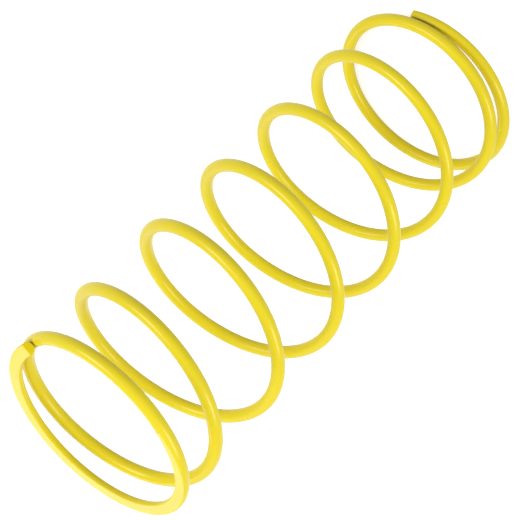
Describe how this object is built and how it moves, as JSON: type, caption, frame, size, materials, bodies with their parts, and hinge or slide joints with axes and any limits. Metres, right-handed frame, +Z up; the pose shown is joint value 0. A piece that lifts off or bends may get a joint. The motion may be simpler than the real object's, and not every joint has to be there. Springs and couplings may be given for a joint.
{
  "type": "torque spring",
  "caption": "Left-hand helical compression spring of painted round wire with closed and ground ends, which loads the driven pulley of a scooter belt drive.",
  "frame": {"origin": "centre of the lower ground face, on the axis of the coil", "axes": "+Z up along the axis of the coil, +X through the lower tip of the wire"},
  "size_m": [0.06, 0.06, 0.161],
  "materials": {
    "yellow_paint": "satin"
  },
  "bodies": {
    "root": {"coil_spring": "yellow_paint"}
  },
  "joints": []
}
